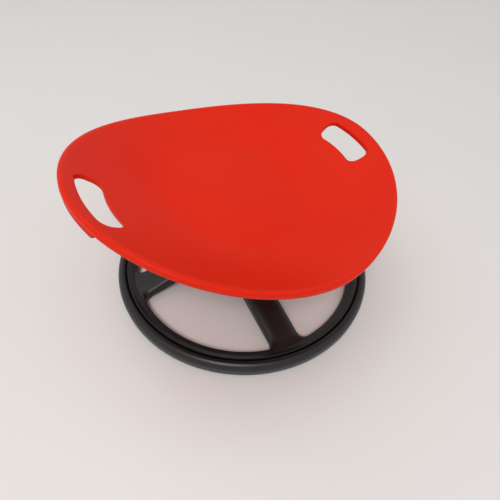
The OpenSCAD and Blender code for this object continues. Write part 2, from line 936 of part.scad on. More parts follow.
module floor_tyre() color([0.06, 0.06, 0.07]) {
    fit = touch;
    r0 = rim_r + fit;
    r1 = ring_r;
    foot = 4;
    rotate_extrude()
        polygon(concat(
            [
                [r0 + 2, 0],
                [r1 - foot - 1, 0],
                [r1 - 2.2, 1.4],
                [r1 - 0.7, 4]
            ],
            [for (t = [0 : 20 : 160])
                [r1 - 8.2 + 8.2 * cos(t), tyre_h - 12.5 + 12.5 * sin(t)]],
            [
                [r0 + 0.9, tyre_h - 8.4],
                [r0, tyre_h - 9.2],
                [r0, tongue_z + tongue_h + fit],
                [r0 + tongue_d, tongue_z + tongue_h - 1 + fit],
                [r0 + tongue_d, tongue_z + 1 - fit],
                [r0, tongue_z - fit],
                [r0, 2]
            ]
        ));
}

module bottom_cap() color([0.1, 0.1, 0.1]) {
    skirt_r = mouth_r - touch;
    on_axis(w_mouth - cap_t)
        union() {
            cylinder(r = mouth_r + tube_wall, h = cap_t - touch);
            translate([0, 0, cap_t - touch - 0.5])
                tube(skirt_r, skirt_r - cap_skirt_t, cap_skirt_h);
        }
}

seat_shell();
flange_plate();
spindle();
flange_screws();
spindle_seal();
upper_inner_race();
lower_inner_race();
bearing_spacer();
spindle_washer();
spindle_nut();
upper_balls();
upper_cage();
lower_balls();
lower_cage();
base_frame();
floor_tyre();
bearing_sleeve();
sleeve_ring();
upper_outer_race();
lower_outer_race();
upper_seals();
lower_seals();
bottom_cap();
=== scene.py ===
"""Toddler spinning seat: smooth surfaces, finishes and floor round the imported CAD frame.

The saucer and the base get new surfaces, and every other piece is the CAD's own. Shapes are worked
out in millimetres, on the axes of part.scad, and put into the meshes in metres.
"""

import json
import math

import bpy
import numpy as np
from mathutils import Matrix, Vector


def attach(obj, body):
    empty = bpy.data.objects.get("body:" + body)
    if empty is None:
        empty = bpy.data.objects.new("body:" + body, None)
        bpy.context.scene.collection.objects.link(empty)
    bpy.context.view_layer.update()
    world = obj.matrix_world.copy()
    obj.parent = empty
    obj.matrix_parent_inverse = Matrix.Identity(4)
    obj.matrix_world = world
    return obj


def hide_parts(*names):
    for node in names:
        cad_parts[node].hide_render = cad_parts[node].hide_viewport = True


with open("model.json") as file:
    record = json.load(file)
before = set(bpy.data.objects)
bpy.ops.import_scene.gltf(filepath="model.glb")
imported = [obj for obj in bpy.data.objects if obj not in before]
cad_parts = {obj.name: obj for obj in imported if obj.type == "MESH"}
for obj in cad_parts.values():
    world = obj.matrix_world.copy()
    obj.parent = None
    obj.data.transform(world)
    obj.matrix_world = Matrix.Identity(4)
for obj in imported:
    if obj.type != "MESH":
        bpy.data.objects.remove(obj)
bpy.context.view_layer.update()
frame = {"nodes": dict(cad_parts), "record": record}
scene = bpy.context.scene

# Sizes in millimetres. Those that part.scad also has are as there, apart from the grip skirts'
# tuck and thickness.

# Saucer outline from the spin axis to the rim, where squareness 2 would be an ellipse
HALF_W = 256.0
FRONT_D = 232.0
BACK_D = 218.0
SQUARE = 1.88

# Rises of the rim above the flat middle, and how late the dish turns up
HANDLE_RISE = 82.0
FRONT_RISE = 59.0
BACK_RISE = 18.0
RISE_POWER = 1.8
FLAT_R = 108.0
DISH_POWER = 1.48

# Wall of the saucer, its rolled rim and the straight lip below
WALL = 4.5
ROLL_R = 9.0
LIP = 5.0
LIP_ROUND = 0.9

# Hand slots with the collars under them
SLOT_X = 221.0
SLOT_W = 31.5
SLOT_LEN = 96.0
SLOT_BEND_R = 153.0
SLOT_CORNER_R = 13.0
SLOT_FILLET = 1.1
COLLAR_D = 7.5
COLLAR_T = 2.5

# Grip skirts outside the hand slots, tucked in behind the lip's outer face
GRIP_DROP = 10.0
GRIP_LEN = 118.0
GRIP_CORNER = 9.0
GRIP_TUCK = 1.2
GRIP_T = 3.2
GRIP_ROUND = 0.9
GRIP_OVERLAP = 2.0
GRIP_STATIONS = 61

# Round skirt and ribs under the saucer
SKIRT_D = 44.0
SKIRT_T = 3.0
SKIRT_R = FLAT_R - SKIRT_T / 2
SKIRT_ROUND = 0.9
SKIRT_STEPS = 256
RIB_COUNT = 16
RIB_T = 2.6
RIB_D = 22.0
RIB_REACH = 0.92
RIB_BITE = 1.5
RIB_STATIONS = 24
RIB_TAIL = 2.0
GUSSET_W = 14.0
GUSSET_FOOT = 6.0
GUSSET_REACH = 0.1

# Screw posts and the pad of rings and ribs that ties them together
POST_H = 15.5
POST_R = 7.0
POST_HOLE_R = 2.7
POST_GAP = 1.0
PLATE_R = 44.0
PLATE_T = 4.0
SCREWS = 6
SCREW_RING = 33.0
SPINDLE_HEAD_R = 12.0
PRESS_GAP = 0.1
PAD_BITE = 2.2
PAD_RIB_BITE = 1.0
PAD_RIB_LIFT = 2.0

# Spin axis, which leans by TILT degrees, and the turn of the base under it
TILT = 10.8
CROSS_H = 243.0
SEAT_H = 166.0
BASE_TURN = -5.5
LEAN_DIR = BASE_TURN - 45.0

# Floor ring, and the ridge beside the tyre with the tongue that holds it
RING_D = 456.0
RING_W = 34.0
RING_LIFT = 2.5
EDGE_H = 15.0
BASE_WALL = 3.5
TYRE_W = 16.4
RIDGE_H = 25.0
RIDGE_W = 2.6
RIDGE_STEP = 5.0
RIDGE_STEP_IN = 4.0
RIDGE_EDGE = 0.8
TONGUE_D = 2.6
TONGUE_H = 5.0
TONGUE_Z = 8.0
TONGUE_EDGE = 1.0

# Rounding of the ring's first seven corners, its steps round, and the short ribs in its channel
RING_ROUNDS = (0.5, 4.5, 6.0, 1.0, 0.5, 0.5, 0.5)
RING_STEPS = 360
RING_RIBS = 24
RING_RIB_T = 2.4
RING_RIB_EDGE = 2.0

# How far the ribs under the base run into what they meet
WEB_BITE = 1.0

# Domed spokes with their soft bend at the ring, and the cross ribs inside them
SPOKE_W = 49.0
SPOKE_DOME = 9.0
DOME_POWER = 2.6
SPOKE_FOOT_H = 17.0
SPOKE_CORNER_R = 15.0
SPOKE_BEND = 10.0
ROOT_LIFT = 8.0
ROOT_D = 26.0
SPOKE_BITE = 2.2
SPOKE_TUCK = 3.0
STATION_POWER = 1.5
SPOKE_WEBS = (0.3, 0.55, 0.8)
SPOKE_WEB_T = 2.6
SPOKE_WEB_EDGE = 3.0
SPOKE_WEB_RISE = 4.0
SPOKE_WEB_IN = 2.0

# Hub: column, flare and drum round the bearing sleeve
BEARING_OD = 35.0
BEARING_W = 11.0
BEARING_SPAN = 71.0
BEARING_RECESS = 3.0
SLEEVE_WALL = 3.5
SLEEVE_FLANGE_T = 2.5
SLEEVE_R = BEARING_OD / 2 + SLEEVE_WALL
SLEEVE_BORE_R = SLEEVE_R + PRESS_GAP
TUBE_WALL = 4.0
TUBE_R = SLEEVE_BORE_R + TUBE_WALL
COLUMN_WALL = 3.0
COLUMN_R = TUBE_R + COLUMN_WALL
COLUMN_EDGE = 1.5
MOUTH_GAP = 6.0
MOUTH_R = SLEEVE_R + MOUTH_GAP
MOUTH_D = 20.0
STEP_BELOW = 6.0
DRUM_R = 50.0
DRUM_WALL = 4.0
DRUM_D = 36.0
DRUM_EDGE = 0.6
DRUM_TOP = 2.0
FLARE_POWER = 2.4
FLARE_STEPS = 40
FLARE_HOLLOW = 0.4
FLARE_GAP = 0.5
HUB_STEPS = 192
HUB_WEBS = 8
HUB_WEB_T = 3.0
HUB_WEB_EDGE = 4.0

# Running gap between the steel plate and the hub
HUB_GAP = 7.0

# Heights along the spin axis, counted from the flat middle of the saucer, down negative
W_POST = -WALL - POST_H
W_HUB = W_POST - PLATE_T - HUB_GAP
W_LOWER = W_HUB - BEARING_RECESS - BEARING_SPAN
W_STEP = W_LOWER - BEARING_W - STEP_BELOW
W_MOUTH = W_STEP - MOUTH_D
W_JOIN = W_LOWER + 1.0
W_DRUM_END = W_JOIN - DRUM_D
W_COLUMN = W_HUB - SLEEVE_FLANGE_T

# Radii of the floor ring, and the place where the spokes meet the hub
RING_IN = RING_D / 2 - RING_W
RIM_R = RING_D / 2 - TYRE_W
LEAN_SLOPE = math.tan(math.radians(TILT))
LEAN_WAY = np.array([math.cos(math.radians(LEAN_DIR)), math.sin(math.radians(LEAN_DIR))])
JOIN_H = SEAT_H + W_JOIN * math.cos(math.radians(TILT))
HUB_XY = -(CROSS_H - JOIN_H) * LEAN_SLOPE * LEAN_WAY

# The spin axis's own frame, with its zero on the flat middle of the saucer
AXIS_DROP = (CROSS_H - SEAT_H) / math.cos(math.radians(TILT))
AXIS = (Matrix.Translation((0, 0, CROSS_H)) @ Matrix.Rotation(math.radians(LEAN_DIR), 4, "Z")
        @ Matrix.Rotation(math.radians(TILT), 4, "Y") @ Matrix.Rotation(math.radians(-LEAN_DIR), 4, "Z")
        @ Matrix.Translation((0, 0, -AXIS_DROP)))

# Steps round the saucer's skin, its rings, and those that a patch round a hand slot takes over
SKIN_STEPS = 288
FLAT_RINGS = 6
DISH_RINGS = 48
PATCH_IN = 31
PATCH_OUT = 52
PATCH_HALF = 16
PATCH_LAYERS = 9
PATCH_CROWD = 0.85
SKIN_TURN = np.arange(SKIN_STEPS) * 2 * math.pi / SKIN_STEPS

# Points along a long side and round a quarter corner of a hand slot, before they are shared out
SIDE_POINTS = 60
CORNER_POINTS = 30

# Distances along a spoke between which the drum's wall is looked for
DRUM_NEAR = 20.0
DRUM_FAR = 70.0
HALVINGS = 30

# A rounded corner uses up at most this share of the sides that meet there
MOST_OF_SIDE = 0.48


# Ways to make and place a solid, which is its points and a list of arrays of faces
def on_axis(points):
    """Points of the spin axis's own frame, moved to the frame of the whole part."""
    m = np.array(AXIS)
    return points @ m[:3, :3].T + m[:3, 3]


def turned(points, degrees):
    """Points turned about Z."""
    c = math.cos(math.radians(degrees))
    s = math.sin(math.radians(degrees))
    x, y, z = points.T
    return np.column_stack([x * c - y * s, x * s + y * c, z])


def polar_points(r, a, z):
    """Points at radius r, angle a and height z: x = r cos a, y = r sin a."""
    return np.stack(np.broadcast_arrays(r * np.cos(a), r * np.sin(a), z), -1)


def grid_quads(numbers, flip=False):
    """Quads between neighbouring rows of a grid of point numbers, each row closed on itself."""
    near = numbers[:-1]
    far = numbers[1:]
    quads = np.stack([near, far, np.roll(far, -1, 1), np.roll(near, -1, 1)], -1).reshape(-1, 4)
    return quads[:, ::-1] if flip else quads


def loft(rows):
    """A solid through loops of equal count, with a flat face at each end."""
    rows = np.asarray(rows, float)
    numbers = np.arange(rows[..., 0].size).reshape(rows.shape[:2])
    return rows.reshape(-1, 3), [grid_quads(numbers), numbers[:1], numbers[-1:, ::-1]]


def lathe(profile, steps):
    """A closed outline of (radius, height) carried round the Z axis."""
    r, z = np.asarray(profile, float).T
    a = np.arange(steps) * 2 * math.pi / steps
    numbers = np.arange(steps * len(r)).reshape(steps, len(r))
    return polar_points(r, a[:, None], z).reshape(-1, 3), [grid_quads(np.vstack([numbers, numbers[:1]]))]


def plate(outline, thick):
    """A flat plate: an outline of (x, z) carried across Y by its thickness."""
    x, z = np.asarray(outline, float).T
    return loft([np.column_stack([x, np.full(len(x), y), z]) for y in (-thick / 2, thick / 2)])


def bar(near, far, width, low, high):
    """A square-edged bar from near to far along X, centred on Y."""
    return plate([(near, low), (far, low), (far, high), (near, high)], width)


def rounded(outline, radii, steps):
    """An outline with its first corners rounded by the given radii. A rounded corner is the curve
    (1 - t)^2 start + 2 t (1 - t) corner + t^2 end, whose ends lie radius / tan(half the angle) away."""
    outline = np.asarray(outline, float)
    t = np.linspace(0, 1, steps + 1)[:, None]
    corners = []
    for i, corner in enumerate(outline):
        if i >= len(radii) or radii[i] == 0:
            corners.append(corner[None])
            continue
        sides = np.array([outline[i - 1], outline[(i + 1) % len(outline)]]) - corner
        lengths = np.hypot(*sides.T)
        ways = sides / lengths[:, None]
        half = math.acos(ways[0] @ ways[1]) / 2
        cut = min(radii[i] / math.tan(half), MOST_OF_SIDE * min(lengths))
        start, end = corner + ways * cut
        corners.append((1 - t) ** 2 * start + 2 * t * (1 - t) * corner + t ** 2 * end)
    return np.concatenate(corners)


def facing_out(points, faces):
    """The faces of a closed solid, turned outward: its volume, summed as P0 . (P1 x P2) over the fan
    of every face, is then above zero."""
    volume = 0.0
    for block in faces:
        fans = np.cross(points[block[:, 1:-1]], points[block[:, 2:]])
        volume += np.sum(points[block[:, :1]] * fans)
    return faces if volume > 0 else [block[:, ::-1] for block in faces]


def joined(solids):
    """Several closed solids in one mesh, all facing outward."""
    first = np.cumsum([0] + [len(points) for points, _ in solids])
    faces = []
    for (points, blocks), start in zip(solids, first):
        faces += [block + start for block in facing_out(points, blocks)]
    return np.concatenate([points for points, _ in solids]), faces


def add_mesh(name, points, faces, crease=None):
    """A smooth-shaded object from points in mm and arrays of faces, sharp where faces meet at more
    than the crease angle in degrees."""
    corners = []
    for block in faces:
        corners += block.tolist()
    mesh = bpy.data.meshes.new(name)
    mesh.from_pydata((points / 1000.0).tolist(), [], corners)
    mesh.validate()
    mesh.update()
    mesh.polygons.foreach_set("use_smooth", np.ones(len(mesh.polygons), bool))
    if crease:
        mesh.set_sharp_from_angle(angle=math.radians(crease))
    made = bpy.data.objects.new(name, mesh)
    scene.collection.objects.link(made)
    return made


# Form of the saucer
def by_side(a, front, back):
    """The front value on the high side of the saucer, where sin a is below zero, else the back one."""
    return np.where(np.sin(a) < 0, front, back)


def rim_at(a):
    """Radius of the rim: (|cos a / width|^p + |sin a / depth|^p)^(-1/p)."""
    depth = by_side(a, FRONT_D, BACK_D)
    return (np.abs(np.cos(a) / HALF_W) ** SQUARE + np.abs(np.sin(a) / depth) ** SQUARE) ** (-1 / SQUARE)


def rim_rise(a):
    """Rise of the rim: handle |x / width|^q + side |y / depth|^q, at the rim's own x and y."""
    r = rim_at(a)
    depth = by_side(a, FRONT_D, BACK_D)
    return (HANDLE_RISE * np.abs(r * np.cos(a) / HALF_W) ** RISE_POWER
            + by_side(a, FRONT_RISE, BACK_RISE) * np.abs(r * np.sin(a) / depth) ** RISE_POWER)


def dish(r, a):
    """Height of the top face: rise(a) t^power, where t runs from 0 at the flat middle to 1 at the rim."""
    t = np.maximum(0.0, (r - FLAT_R) / (rim_at(a) - FLAT_R))
    return rim_rise(a) * t ** DISH_POWER


def wall_down(r, a):
    """Height of the wall, measured straight down through the slope of the dish."""
    slope = dish(r, a) - dish(r - 1.0, a)
    return WALL * np.sqrt(1 + slope ** 2)


def on_dish(xy, under=False):
    """Points of a plane laid on the top face of the dish, or on its underside."""
    r = np.hypot(xy[..., 0], xy[..., 1])
    a = np.arctan2(xy[..., 1], xy[..., 0])
    z = dish(r, a) - wall_down(r, a) if under else dish(r, a)
    return np.concatenate([xy, z[..., None]], -1)


def arc(centre, radius, start, end, count):
    """Points along an arc in the plane."""
    t = np.linspace(start, end, count)
    return centre + radius * np.column_stack([np.cos(t), np.sin(t)])


def slot_outline(grow):
    """The bean-shaped outline of the hand slot at +X, grown outward. Two long arcs about the middle of
    its bend and four round corners are cut at the middles of the corners, and each of the four parts
    has as many even steps as that side of the patch: outer, high end, inner, low end."""
    half = (SLOT_LEN / 2 - SLOT_CORNER_R) / SLOT_BEND_R
    quarter = math.pi / 2
    bend = np.array([SLOT_X - SLOT_BEND_R, 0.0])
    inner = SLOT_BEND_R - SLOT_W / 2 + SLOT_CORNER_R
    outer = SLOT_BEND_R + SLOT_W / 2 - SLOT_CORNER_R
    corner = SLOT_CORNER_R + grow
    high = np.array([math.cos(half), math.sin(half)])
    low = np.array([math.cos(half), -math.sin(half)])
    loop = np.concatenate([
        arc(bend, outer + corner, -half, half, SIDE_POINTS),
        arc(bend + outer * high, corner, half, half + quarter, CORNER_POINTS)[1:],
        arc(bend + inner * high, corner, half + quarter, half + 2 * quarter, CORNER_POINTS),
        arc(bend, inner - corner, half, -half, SIDE_POINTS)[1:],
        arc(bend + inner * low, corner, 2 * quarter - half, 3 * quarter - half, CORNER_POINTS)[1:],
        arc(bend + outer * low, corner, 3 * quarter - half, 4 * quarter - half, CORNER_POINTS)])
    loop = np.concatenate([loop, loop[:1]])
    along = np.r_[0, np.cumsum(np.hypot(*np.diff(loop, axis=0).T))]
    # Numbers of the points in the middles of the four corners
    middles = np.cumsum([SIDE_POINTS + CORNER_POINTS // 2 - 1, CORNER_POINTS,
                         SIDE_POINTS + CORNER_POINTS - 2, CORNER_POINTS])
    cuts = along[middles[[3, 0, 1, 2, 3]]] - [along[-1], 0, 0, 0, 0]
    steps = (2 * PATCH_HALF, PATCH_OUT - PATCH_IN) * 2
    marks = [np.linspace(cuts[i], cuts[i + 1], steps[i], endpoint=False) for i in range(4)]
    marks = np.concatenate(marks) % along[-1]
    return np.column_stack([np.interp(marks, along, loop[:, 0]), np.interp(marks, along, loop[:, 1])])


# Saucer skin
class Skin:
    """Grids of points under running numbers, with the faces sewn between their rows."""

    def __init__(self):
        self.grids = []
        self.faces = []
        self.count = 0

    def add(self, grid):
        """Adds a grid of points and gives the grid of their numbers."""
        grid = np.asarray(grid, float)
        numbers = self.count + np.arange(grid[..., 0].size).reshape(grid.shape[:-1])
        self.grids.append(grid.reshape(-1, 3))
        self.count += numbers.size
        return numbers

    def sew(self, rows, flip=False):
        """Joins rows of point numbers by quads."""
        self.faces.append(grid_quads(np.vstack(rows), flip))


def dish_grid(under):
    """Rings of points over the dish: even radii on the flat middle, then even shares of the way from
    there to the rolled rim, at the height of the top face or of the underside."""
    flat = FLAT_R * np.arange(1, FLAT_RINGS + 1)[:, None] / FLAT_RINGS
    share = np.arange(1, DISH_RINGS + 1)[:, None] / DISH_RINGS
    rising = FLAT_R + (rim_at(SKIN_TURN) - ROLL_R - FLAT_R) * share
    r = np.concatenate([np.tile(flat, SKIN_STEPS), rising])
    return on_dish(polar_points(r, SKIN_TURN, 0.0)[..., :2], under)


def dish_face(skin, under):
    """One face of the dish: a fan round the middle and quads between the rings, less those of the
    two slot patches. Gives the grid of points and of their numbers."""
    points = dish_grid(under)
    numbers = skin.add(points)
    middle = skin.add([[0.0, 0.0, -WALL if under else 0.0]])
    fan = np.column_stack([np.tile(middle, SKIN_STEPS), numbers[0], np.roll(numbers[0], -1)])
    skin.faces.append(fan[:, ::-1] if under else fan)
    ring = np.arange(len(numbers) - 1)[:, None]
    step = (np.arange(SKIN_STEPS) + PATCH_HALF) % (SKIN_STEPS // 2)
    patch = (ring >= PATCH_IN) & (ring < PATCH_OUT) & (step < 2 * PATCH_HALF)
    skin.faces.append(grid_quads(numbers, under)[~patch.ravel()])
    return points, numbers


def patch_border(middle):
    """Rings and steps of the grid round a slot patch, in the order of slot_outline."""
    across = np.arange(2 * PATCH_HALF)
    out = np.arange(PATCH_OUT - PATCH_IN)
    ring = np.concatenate([0 * across + PATCH_OUT, PATCH_OUT - out, 0 * across + PATCH_IN, PATCH_IN + out])
    step = np.concatenate([across - PATCH_HALF, 0 * out + PATCH_HALF,
                           PATCH_HALF - across, 0 * out - PATCH_HALF])
    return ring, (middle + step) % SKIN_STEPS


def collar_profile():
    """Growth and drop of the slot's outline down its fillet and wall, round its foot and up outside."""
    t = np.radians([22.5, 45, 67.5, 90])
    fillet = SLOT_FILLET * (1 - np.column_stack([np.sin(t), np.cos(t)]))
    wall = [(0.0, COLLAR_D * 0.5), (0.0, COLLAR_D - 0.7), (0.35, COLLAR_D - 0.15), (0.8, COLLAR_D),
            (COLLAR_T - 0.8, COLLAR_D), (COLLAR_T - 0.2, COLLAR_D - 0.25), (COLLAR_T, COLLAR_D - 0.8)]
    return np.concatenate([fillet, wall])


def hand_slot(skin, faces, sign):
    """The patches round a hand slot and the wall and collar between them. A patch's layers are
    border (1 - t) + outline t, laid on the dish. The slot at -X is the other one turned half round."""
    ring, step = patch_border(0 if sign > 0 else SKIN_STEPS // 2)
    t = (np.arange(1, PATCH_LAYERS + 1) / PATCH_LAYERS)[:, None, None] ** PATCH_CROWD
    edges = []
    for (points, numbers), under in zip(faces, (False, True)):
        border = points[ring, step, :2]
        outline = slot_outline(COLLAR_T if under else SLOT_FILLET) * sign
        layers = skin.add(on_dish(border * (1 - t) + outline * t, under))
        skin.sew([numbers[ring, step], layers], flip=not under)
        edges.append(layers[-1])
    collar = [on_dish(slot_outline(grow) * sign) - [0, 0, drop] for grow, drop in collar_profile()]
    skin.sew([edges[0], skin.add(collar), edges[1]], flip=True)


def rim_rows():
    """Rings over the rolled rim, down the lip, round its foot and back up inside. The roll is
    rim - R (1 - sin t) outward and R (1 - cos t) down from the dish, and inside it is one wall less."""
    rim = rim_at(SKIN_TURN)
    foot = dish(rim, SKIN_TURN) - ROLL_R - LIP

    def roll(degrees, wall):
        t = np.radians(degrees)[:, None]
        r = rim - wall - (ROLL_R - wall) * (1 - np.sin(t))
        return polar_points(r, SKIN_TURN, dish(r, SKIN_TURN) - wall - (ROLL_R - wall) * (1 - np.cos(t)))

    outer = np.radians([30, 60, 90])
    inner = np.radians([0, 30, 60, 90])
    out = np.r_[0, 0, -LIP_ROUND * (1 - np.cos(outer)), -WALL + LIP_ROUND * (1 - np.sin(inner))]
    up = np.r_[LIP / 2, LIP_ROUND, LIP_ROUND * (1 - np.sin(outer)), LIP_ROUND * (1 - np.cos(inner))]
    lip = polar_points(rim + out[:, None], SKIN_TURN, foot + up[:, None])
    return np.concatenate([roll(np.arange(9, 91, 9), 0.0), lip, roll(np.arange(90, 14, -15), WALL)])


def saucer_skin():
    """One closed skin: top and underside of the dish, both hand slots, rolled rim and lip."""
    skin = Skin()
    faces = [dish_face(skin, under) for under in (False, True)]
    for sign in (1, -1):
        hand_slot(skin, faces, sign)
    skin.sew([faces[0][1][-1], skin.add(rim_rows()), faces[1][1][-1]])
    return add_mesh("saucer_skin", on_axis(np.concatenate(skin.grids)), skin.faces)


# Pieces under the saucer
def grip_skirt(name, sign):
    """The lip carried on below a hand slot: a thin section with a rounded foot, carried along the rim
    at radius rim(a) - tuck. Its drop is round at both ends, D sqrt(1 - s^2) within a corner."""
    t = np.sin(np.linspace(-math.pi / 2, math.pi / 2, GRIP_STATIONS))
    a = t * math.asin(GRIP_LEN / 2 / HALF_W)
    s = np.maximum(0, 1 - (1 - np.abs(t)) * GRIP_LEN / 2 / GRIP_CORNER)
    drop = GRIP_DROP * np.sqrt(1 - s ** 2)
    edge = np.minimum(GRIP_ROUND, 0.45 * np.maximum(drop, 0.02))
    rim = rim_at(a)
    top = dish(rim, a) - ROLL_R - LIP
    foot = top - drop
    zero = 0 * a
    inward = np.array([zero, zero, 0.3 * edge, edge, GRIP_T - edge, GRIP_T - 0.3 * edge,
                       zero + GRIP_T, zero + GRIP_T]).T
    height = np.array([top + GRIP_OVERLAP, foot + edge, foot + 0.3 * edge, foot, foot,
                       foot + 0.3 * edge, foot + edge, top + GRIP_OVERLAP]).T
    rows = polar_points(rim[:, None] - GRIP_TUCK - inward, a[:, None], height) * [sign, sign, 1]
    points, faces = joined([loft(rows)])
    return add_mesh(name, on_axis(points), faces)


def seat_skirt():
    """The round skirt that closes the hub in from above: a tall thin ring with a rounded foot."""
    inside = SKIRT_R - SKIRT_T
    outline = [(SKIRT_R, -WALL / 2), (SKIRT_R, -SKIRT_D), (inside, -SKIRT_D), (inside, -WALL / 2)]
    points, faces = joined([lathe(rounded(outline, [0, SKIRT_ROUND, SKIRT_ROUND], 3), SKIRT_STEPS)])
    return add_mesh("seat_skirt", on_axis(points), faces)


def seat_rib(degrees):
    """A rib from the skirt out under the dish. Its top follows the dish within the wall, its depth
    falls evenly to a thin tail, and a gusset carries its foot down the skirt."""
    a = math.radians(degrees)
    share = np.linspace(0, RIB_REACH, RIB_STATIONS)
    r = FLAT_R + share * (rim_at(a) - ROLL_R - FLAT_R)
    z = dish(r, a)
    depth = RIB_D * (1 - share) + (WALL + RIB_TAIL) * share
    foot_r = np.where(share < GUSSET_REACH, np.maximum(FLAT_R + GUSSET_W, r), r)
    root = SKIRT_R - RIB_BITE
    outline = np.concatenate([[(root, -WALL / 2)], np.column_stack([r, z - WALL / 2]),
                              np.column_stack([foot_r, z - depth])[::-1], [(root, GUSSET_FOOT - SKIRT_D)]])
    points, faces = plate(outline, RIB_T)
    return turned(points, degrees), faces


def seat_ribs():
    """Ribs all round the skirt, except where a hand slot is in the way."""
    blocked = math.atan((SLOT_LEN / 2 + COLLAR_T + RIB_T) / (SLOT_X - SLOT_W))
    places = np.arange(RIB_COUNT) * 360 / RIB_COUNT
    places = places[np.abs(np.sin(np.radians(places))) > math.sin(blocked)]
    points, faces = joined([seat_rib(degrees) for degrees in places])
    return add_mesh("seat_ribs", on_axis(points), faces, crease=35)


def seat_pad():
    """Two rings, twelve ribs and six hollow screw posts that stand on the steel plate."""
    def ring(outer, inner, steps):
        return lathe([(outer, -PAD_BITE), (outer, W_POST), (inner, W_POST), (inner, -PAD_BITE)], steps)

    solids = [ring(PLATE_R, SCREW_RING + POST_R + POST_GAP, 96),
              ring(SPINDLE_HEAD_R + SKIRT_T, SPINDLE_HEAD_R + PRESS_GAP, 64)]
    rib, rib_faces = bar(SPINDLE_HEAD_R + PAD_RIB_BITE, SKIRT_R - PAD_RIB_BITE, RIB_T,
                         W_POST + PAD_RIB_LIFT, -PAD_BITE)
    post, post_faces = ring(POST_R, POST_HOLE_R, 32)
    solids += [(turned(rib, i * 180 / SCREWS), rib_faces) for i in range(2 * SCREWS)]
    solids += [(turned(post + [SCREW_RING, 0, 0], i * 360 / SCREWS), post_faces) for i in range(SCREWS)]
    points, faces = joined(solids)
    return add_mesh("seat_pad", on_axis(points), faces, crease=35)


# Form of the spokes, with x along a spoke from the point where the hub's axis crosses their height
def spoke_ways(k):
    """Unit vectors along spoke k and across it."""
    a = math.radians(BASE_TURN + 90 * k)
    return np.array([math.cos(a), math.sin(a)]), np.array([-math.sin(a), math.cos(a)])


def from_hub(points, k):
    """Points of a spoke's own frame, moved to the frame of the whole part."""
    return turned(points, BASE_TURN + 90 * k) + [*HUB_XY, 0]


def reach_to(k, r, y):
    """Distance along spoke k, at y across it, to the circle of radius r about the ring's middle."""
    along, across = spoke_ways(k)
    return np.sqrt(r * r - (y + HUB_XY @ across) ** 2) - HUB_XY @ along


def spoke_climb(k, x):
    """Share of the climb from the ring to the drum: straight, with a soft bend where it meets the
    ring, (v + sqrt(v^2 + bend^2)) / 2 for the distance v from there."""
    foot = reach_to(k, RING_IN, 0)
    v = foot - x
    return (v + np.sqrt(v * v + SPOKE_BEND ** 2)) / 2 / (foot - DRUM_R)


def spoke_top(k, x):
    """Height of the crown of the dome."""
    return SPOKE_FOOT_H + (JOIN_H - SPOKE_FOOT_H) * spoke_climb(k, x)


def spoke_low(k, x):
    """Height of the lower edges of the channel."""
    return RING_LIFT + (JOIN_H - DRUM_D + ROOT_LIFT - RING_LIFT) * spoke_climb(k, x)


def widening(gap):
    """How far a spoke's side stands out at a distance from the ring: a quarter round corner."""
    gap = np.clip(gap, 0, SPOKE_CORNER_R)
    return SPOKE_CORNER_R - np.sqrt(SPOKE_CORNER_R ** 2 - (SPOKE_CORNER_R - gap) ** 2)


def drum_start(k, y, z):
    """Distance along spoke k at which points y across and z high lie inside the drum's leaning wall,
    found by halving the span that holds it."""
    along, across = spoke_ways(k)
    axis = -np.outer(CROSS_H - z, LEAN_SLOPE * LEAN_WAY)
    low = np.full(len(y), DRUM_NEAR)
    high = np.full(len(y), DRUM_FAR)
    for _ in range(HALVINGS):
        x = (low + high) / 2
        gap = HUB_XY + np.outer(x, along) + np.outer(y, across) - axis
        inside = np.hypot(*gap.T) < DRUM_R - SPOKE_BITE
        low = np.where(inside, x, low)
        high = np.where(inside, high, x)
    return low


def spoke_shell(k, stations=56, sides=40):
    """A domed channel from the drum's wall to the ring. Its section is y = half |sin t|^(2/p) and
    z = dome |cos t|^(2/p) over straight sides, and the inner face is one wall inside it. The stations
    lie at u = 1 - (1 - v)^q of the way, closer together towards the ring."""
    half = SPOKE_W / 2
    t = np.radians(np.linspace(-90, 90, sides + 1))
    y_unit = np.sign(np.sin(t)) * np.abs(np.sin(t)) ** (2 / DOME_POWER)
    z_unit = np.maximum(0, np.cos(t)) ** (2 / DOME_POWER)
    y_unit = np.r_[-1, y_unit, 1]
    z_unit = np.r_[0, z_unit, 0]
    hangs = np.zeros(sides + 3, bool)
    hangs[[0, -1]] = True
    z_start = spoke_top(k, DRUM_R) - np.where(hangs, ROOT_D, SPOKE_DOME * (1 - z_unit))
    start = drum_start(k, y_unit * half, z_start)
    end = reach_to(k, RING_IN + BASE_WALL + SPOKE_TUCK, 0)
    u = 1 - (1 - np.linspace(0, 1, stations + 1)[:, None]) ** STATION_POWER
    x = start + (end - start) * u
    ring_edge = reach_to(k, RING_IN, np.where(y_unit >= 0, half, -half))
    shoulder = spoke_top(k, x) - SPOKE_DOME

    def skin(inset):
        y = y_unit * (half + widening(ring_edge - x) - inset)
        z = np.where(hangs, spoke_low(k, x), shoulder + (SPOKE_DOME - inset) * z_unit)
        return np.stack([x, y, z], -1)

    points, faces = loft(np.concatenate([skin(0.0), skin(BASE_WALL)[:, ::-1]], 1))
    return from_hub(points, k), faces


